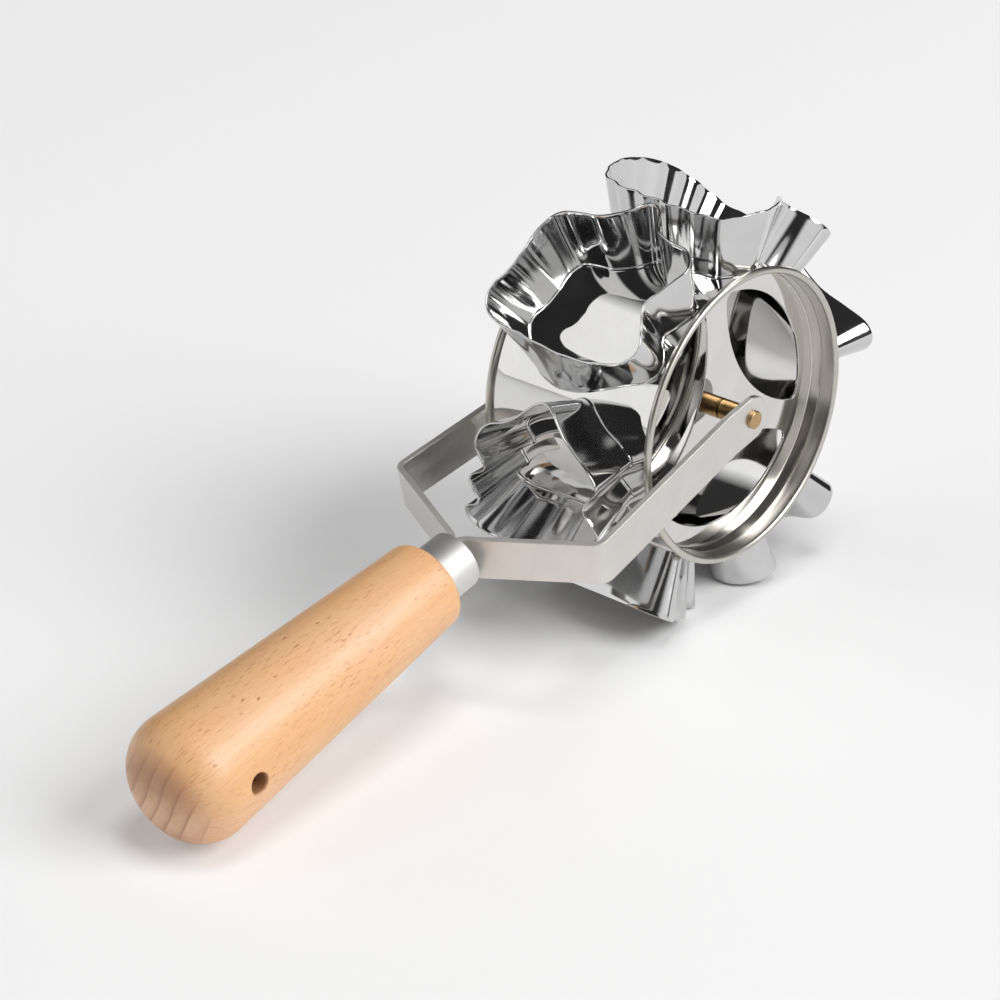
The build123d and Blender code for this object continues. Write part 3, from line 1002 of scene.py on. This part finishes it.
def flat_arm(runs):
    """The strip before bending: points (along, across), faces, outside loop and hole loop."""
    half = STRIP / 2
    neck = half + EYE_STRAIGHT - NECK_BACK
    outline = eye_outline(half, neck)
    flat, faces = eye_plate(outline, half)
    last = len(flat) - len(outline)
    neck_start = last + EYE_STEPS + SIDE_STEPS
    row = list(range(neck_start, neck_start + COLUMNS + 1))
    after_neck = list(range(row[-1] + 1, len(flat)))
    low_side = [row[0]]
    high_side = [row[-1]]
    for station in [run for run in runs if run > neck + NECK_GAP]:
        fresh = list(range(len(flat), len(flat) + COLUMNS + 1))
        flat += [(station, -half + STRIP * k / COLUMNS) for k in range(COLUMNS + 1)]
        faces += [(row[k], fresh[k], fresh[k + 1], row[k + 1]) for k in range(COLUMNS)]
        row = fresh
        low_side.append(row[0])
        high_side.append(row[-1])
    contour = list(range(last, neck_start)) + low_side + row[1:-1] + high_side[::-1] + after_neck
    return flat, faces, contour, list(range(len(outline)))


def arm_mesh():
    """A flat bar with a round pierced eye, bent along its path."""
    points, runs = arm_path()
    flat, faces, contour, hole_loop = flat_arm(runs)
    steps = np.diff(points, axis=0)
    units = steps / np.linalg.norm(steps, axis=1)[:, None]
    widest = cad_high[0] / MM

    def bent(u, w, lift):
        """A point of the flat strip after bending, so far off the middle of its thickness."""
        i = min(max(int(np.searchsorted(runs, u)) - 1, 0), len(runs) - 2)
        f = (u - runs[i]) / (runs[i + 1] - runs[i])
        along = units[i]
        if f < 1e-6 or f > 1 - 1e-6:
            k = i if f < 0.5 else i + 1
            along = units[min(k, len(units) - 1)] + units[max(k - 1, 0)]
            along = along / np.linalg.norm(along)
        outward = np.array((along[1], -along[0]))
        place = points[i] + steps[i] * f + outward * lift
        return (min(place[0], widest), -place[1], w)

    total = len(flat)
    verts = [bent(u, w, lift) for lift in (STRIP_SHEET / 2, -STRIP_SHEET / 2) for u, w in flat]
    faces += [tuple(total + i for i in reversed(f)) for f in faces]
    faces += edge_faces(contour, total)
    faces += edge_faces(hole_loop, total)
    return verts, faces


verts, faces = arm_mesh()
for made in add_pair("fork_strip_", verts, faces, "frame", "fork_arm_", FORK_STEEL,
                     HANDLE_FRAME):
    soften(made, ARM_EDGE, segments=3)


# Ferrule and handle, turned about the handle's axis; Y runs towards the drum, so places are negative

def turned(points, radii, segments, step, steps):
    """A turned shape from (place, radius) corners and their rounds, with runs up to a step long."""
    profile = rounded([(-place, radius) for place, radius in points], radii, steps=steps)
    return lathe(divided(profile, step), "y", segments, closed=False)


slot_x = 2 * SEAT + STRIP_SHEET
slot_z = STRIP / 2 + SEAT
cup_floor = ferrule_place + FERRULE_SHEET
cup_bore = FERRULE - FERRULE_SHEET
corners = [(ferrule_place, 0), (ferrule_place, FERRULE), (handle_place, FERRULE), (handle_place, cup_bore),
           (cup_floor, cup_bore), (cup_floor, 0)]
verts, faces = turned(corners, [0, 0.4, 0.15, 0.1, 0.2, 0], FERRULE_SEGMENTS, step=1.0, steps=5)
ferrule = add_piece("ferrule_cup", verts, faces, "frame", "ferrule", ALUMINIUM,
                    HANDLE_FRAME)
verts, faces = block((-slot_x, -ferrule_place - 2 * FERRULE_SHEET, -slot_z),
                     (slot_x, -ferrule_place + 1, slot_z))
cut_away(ferrule, verts, faces, HANDLE_FRAME)
soften(ferrule, FERRULE_EDGE)

neck_place = cup_floor + SEAT
neck_radius = cup_bore - SEAT
grip_place = handle_place + SEAT
corners = [(neck_place, 0), (neck_place, neck_radius), (grip_place, neck_radius), (grip_place, FRONT),
           (end_place, END), (end_place, 0)]
verts, faces = turned(corners, [0, 0.4, 0, FRONT_ROUND, END_ROUND, 0], GRIP_SEGMENTS, step=1.6, steps=18)
handle = add_piece("grip", verts, faces, "frame", "handle", WOOD, HANDLE_FRAME)
verts, faces = block((-slot_x, -tang_end - SEAT, -slot_z), (slot_x, -neck_place + 1, slot_z))
cut_away(handle, verts, faces, HANDLE_FRAME)
# The hole widens towards its mouths; the tool reaches well past the wood
mouth = HOLE + WORN
half_tool = [(WORN_FROM, HOLE), (WORN_FULL, mouth), (HOLE_TOOL, mouth + HOLE_TOOL_FLARE), (HOLE_TOOL, 0)]
profile = [(-place, radius) for place, radius in reversed(half_tool)] + half_tool
verts, faces = lathe(profile, "x", HOLE_SEGMENTS, closed=False)
cut_away(handle, [(x, y - hole_place, z) for x, y, z in verts], faces, HANDLE_FRAME)
soften(handle, GRIP_EDGE)


# Stage: a pale floor, a soft key light from the right, a fill light above and a dim room with two cards

# Camera: angles, focal length in widths of the sensor, and place off the axle in millimetres
CAMERA_TURN = math.radians(42.198)
CAMERA_LIFT = math.radians(26.653)
CAMERA_ROLL = math.radians(-0.724)
CAMERA_FOCAL = 3.3867
CAMERA_PLACE = (-44.57, -30.45, 920.0)
SENSOR = 36.0
# Floor, in metres: half its side, tones, and a share of plain white that grows away from the drum
FLOOR_HALF = 5.0
FLOOR_TONE = 0.9
CLEAN_TONE = 0.86
CLEAN_SHARE = 0.3
CLEAN_SHIFT = 0.03
CLEAN_START = 0.07
CLEAN_FULL = 0.15
# Where the lights look in metres, the room's dim level, and the front card's share as light
LIGHT_TARGET = (0, 0, 0.03)
ROOM_LEVEL = 0.035
FRONT_AS_LIGHT = 0.44


def direction(azimuth, elevation):
    """Unit vector seen from the object: 0 is away from the camera, 90 to its right; degrees."""
    across, height = math.radians(azimuth), math.radians(elevation)
    ahead = Vector((-math.sin(CAMERA_TURN), math.cos(CAMERA_TURN), 0))
    sideways = Vector((math.cos(CAMERA_TURN), math.sin(CAMERA_TURN), 0))
    flat = ahead * math.cos(across) + sideways * math.sin(across)
    return flat * math.cos(height) + Vector((0, 0, math.sin(height)))


def seen(tree):
    """1 for what the camera sees, straight or by way of a mirror; 0 for light that falls on things."""
    rays = node(tree, "LightPath").outputs
    either = calc(tree, "ADD", rays["Is Camera Ray"], rays["Is Glossy Ray"])
    return calc(tree, "ADD", either, rays["Is Transmission Ray"])


def add_floor():
    """A pale floor, with a share of plain white away from the drum for the camera and mirrors."""
    material, tree, shader = new_material("pale_floor")
    shader.inputs["Base Color"].default_value = (FLOOR_TONE, FLOOR_TONE, FLOOR_TONE, 1)
    shader.inputs["Roughness"].default_value = 0.9
    shader.inputs["Specular IOR Level"].default_value = 0.1
    white = node(tree, "Emission")
    white.inputs["Color"].default_value = (CLEAN_TONE, CLEAN_TONE, CLEAN_TONE, 1)
    position = node(tree, "NewGeometry").outputs["Position"]
    from_drum = node(tree, "VectorMath", (0, position), operation="DISTANCE")
    from_drum.inputs[1].default_value = Vector((axle.x, axle.y, 0)) + direction(-90, 0) * CLEAN_SHIFT
    cleaning = span(tree, from_drum.outputs["Value"], 0.0, CLEAN_SHARE, CLEAN_START, CLEAN_FULL)
    share = calc(tree, "MULTIPLY", seen(tree), cleaning)
    cleaned = node(tree, "MixShader", (0, share), (1, shader.outputs[0]), (2, white.outputs[0]))
    tree.links.new(cleaned.outputs[0], tree.nodes["Material Output"].inputs["Surface"])
    mesh = bpy.data.meshes.new("floor")
    corners = [(x * FLOOR_HALF, y * FLOOR_HALF, 0) for x, y in ((-1, -1), (1, -1), (1, 1), (-1, 1))]
    mesh.from_pydata(corners, [], [(0, 1, 2, 3)])
    mesh.materials.append(material)
    return add_object("floor", mesh)


floor = add_floor()


def add_camera():
    turn, lift, roll = CAMERA_TURN, CAMERA_LIFT, CAMERA_ROLL
    right = Vector((math.cos(turn), math.sin(turn), 0))
    back = Vector((math.sin(turn) * math.cos(lift), -math.cos(turn) * math.cos(lift), math.sin(lift)))
    up = back.cross(right)
    right, up = right * math.cos(roll) + up * math.sin(roll), up * math.cos(roll) - right * math.sin(roll)
    data = bpy.data.cameras.new("camera")
    data.sensor_width = SENSOR
    data.lens = SENSOR * CAMERA_FOCAL
    data.clip_start = 0.01
    data.clip_end = 50.0
    camera = add_object("camera", data)
    pose = Matrix((right, up, back)).transposed().to_4x4()
    to_right, upwards, backwards = CAMERA_PLACE
    pose.translation = axle + (right * to_right + up * upwards + back * backwards) * MM
    camera.matrix_world = pose
    return camera


bpy.context.scene.camera = add_camera()


def area_light(name, azimuth, elevation, distance, size, power):
    """A rectangular light that looks at the object; degrees, metres and watts."""
    data = bpy.data.lights.new(name, "AREA")
    data.shape = "RECTANGLE"
    data.size, data.size_y = size
    data.energy = power
    made = add_object(name, data)
    made.location = direction(azimuth, elevation) * distance
    made.rotation_mode = "QUATERNION"
    made.rotation_quaternion = (Vector(LIGHT_TARGET) - made.location).to_track_quat("-Z", "Y")
    return made


area_light("key", azimuth=114, elevation=38, distance=5.5, size=(4.0, 3.4), power=280.0)
top = area_light("top", azimuth=120, elevation=80, distance=3.5, size=(1.3, 1.3), power=40.0)
top.visible_glossy = False


def card(tree, azimuth, elevation, half_across, half_up, edge, level):
    """A soft-edged sheet of light in the room, by its middle and half sizes in degrees."""
    middle = direction(azimuth, elevation)
    level_side = Vector((0, 0, 1)).cross(middle).normalized()
    upward = middle.cross(level_side)
    sky = node(tree, "TexCoord").outputs["Generated"]
    ahead = part_along(tree, sky, middle)
    value = calc(tree, "GREATER_THAN", ahead, 0.0)
    for axis, half in ((level_side, half_across), (upward, half_up)):
        angle = calc(tree, "ARCTAN2", calc(tree, "ABSOLUTE", part_along(tree, sky, axis)), ahead)
        share = span(tree, angle, 1.0, 0.0, math.radians(half - edge), math.radians(half + edge))
        value = calc(tree, "MULTIPLY", value, share)
    return calc(tree, "MULTIPLY", value, level)


def add_room():
    """A room that is dim all round, with a white card on the left and one in front."""
    world = bpy.data.worlds.new("room")
    bpy.context.scene.world = world
    world.use_nodes = True
    tree = world.node_tree
    tree.nodes.clear()
    left = card(tree, azimuth=-91, elevation=26, half_across=30, half_up=33, edge=4, level=1.0)
    front = card(tree, azimuth=148, elevation=18, half_across=30, half_up=20, edge=6, level=0.9)
    front = calc(tree, "MULTIPLY", front, span(tree, seen(tree), FRONT_AS_LIGHT, 1.0))
    level = calc(tree, "ADD", calc(tree, "ADD", left, front), ROOM_LEVEL)
    light = node(tree, "Background", (0, level))
    tree.links.new(light.outputs[0], node(tree, "OutputWorld").inputs[0])


add_room()
bpy.context.scene.view_settings.view_transform = "Standard"
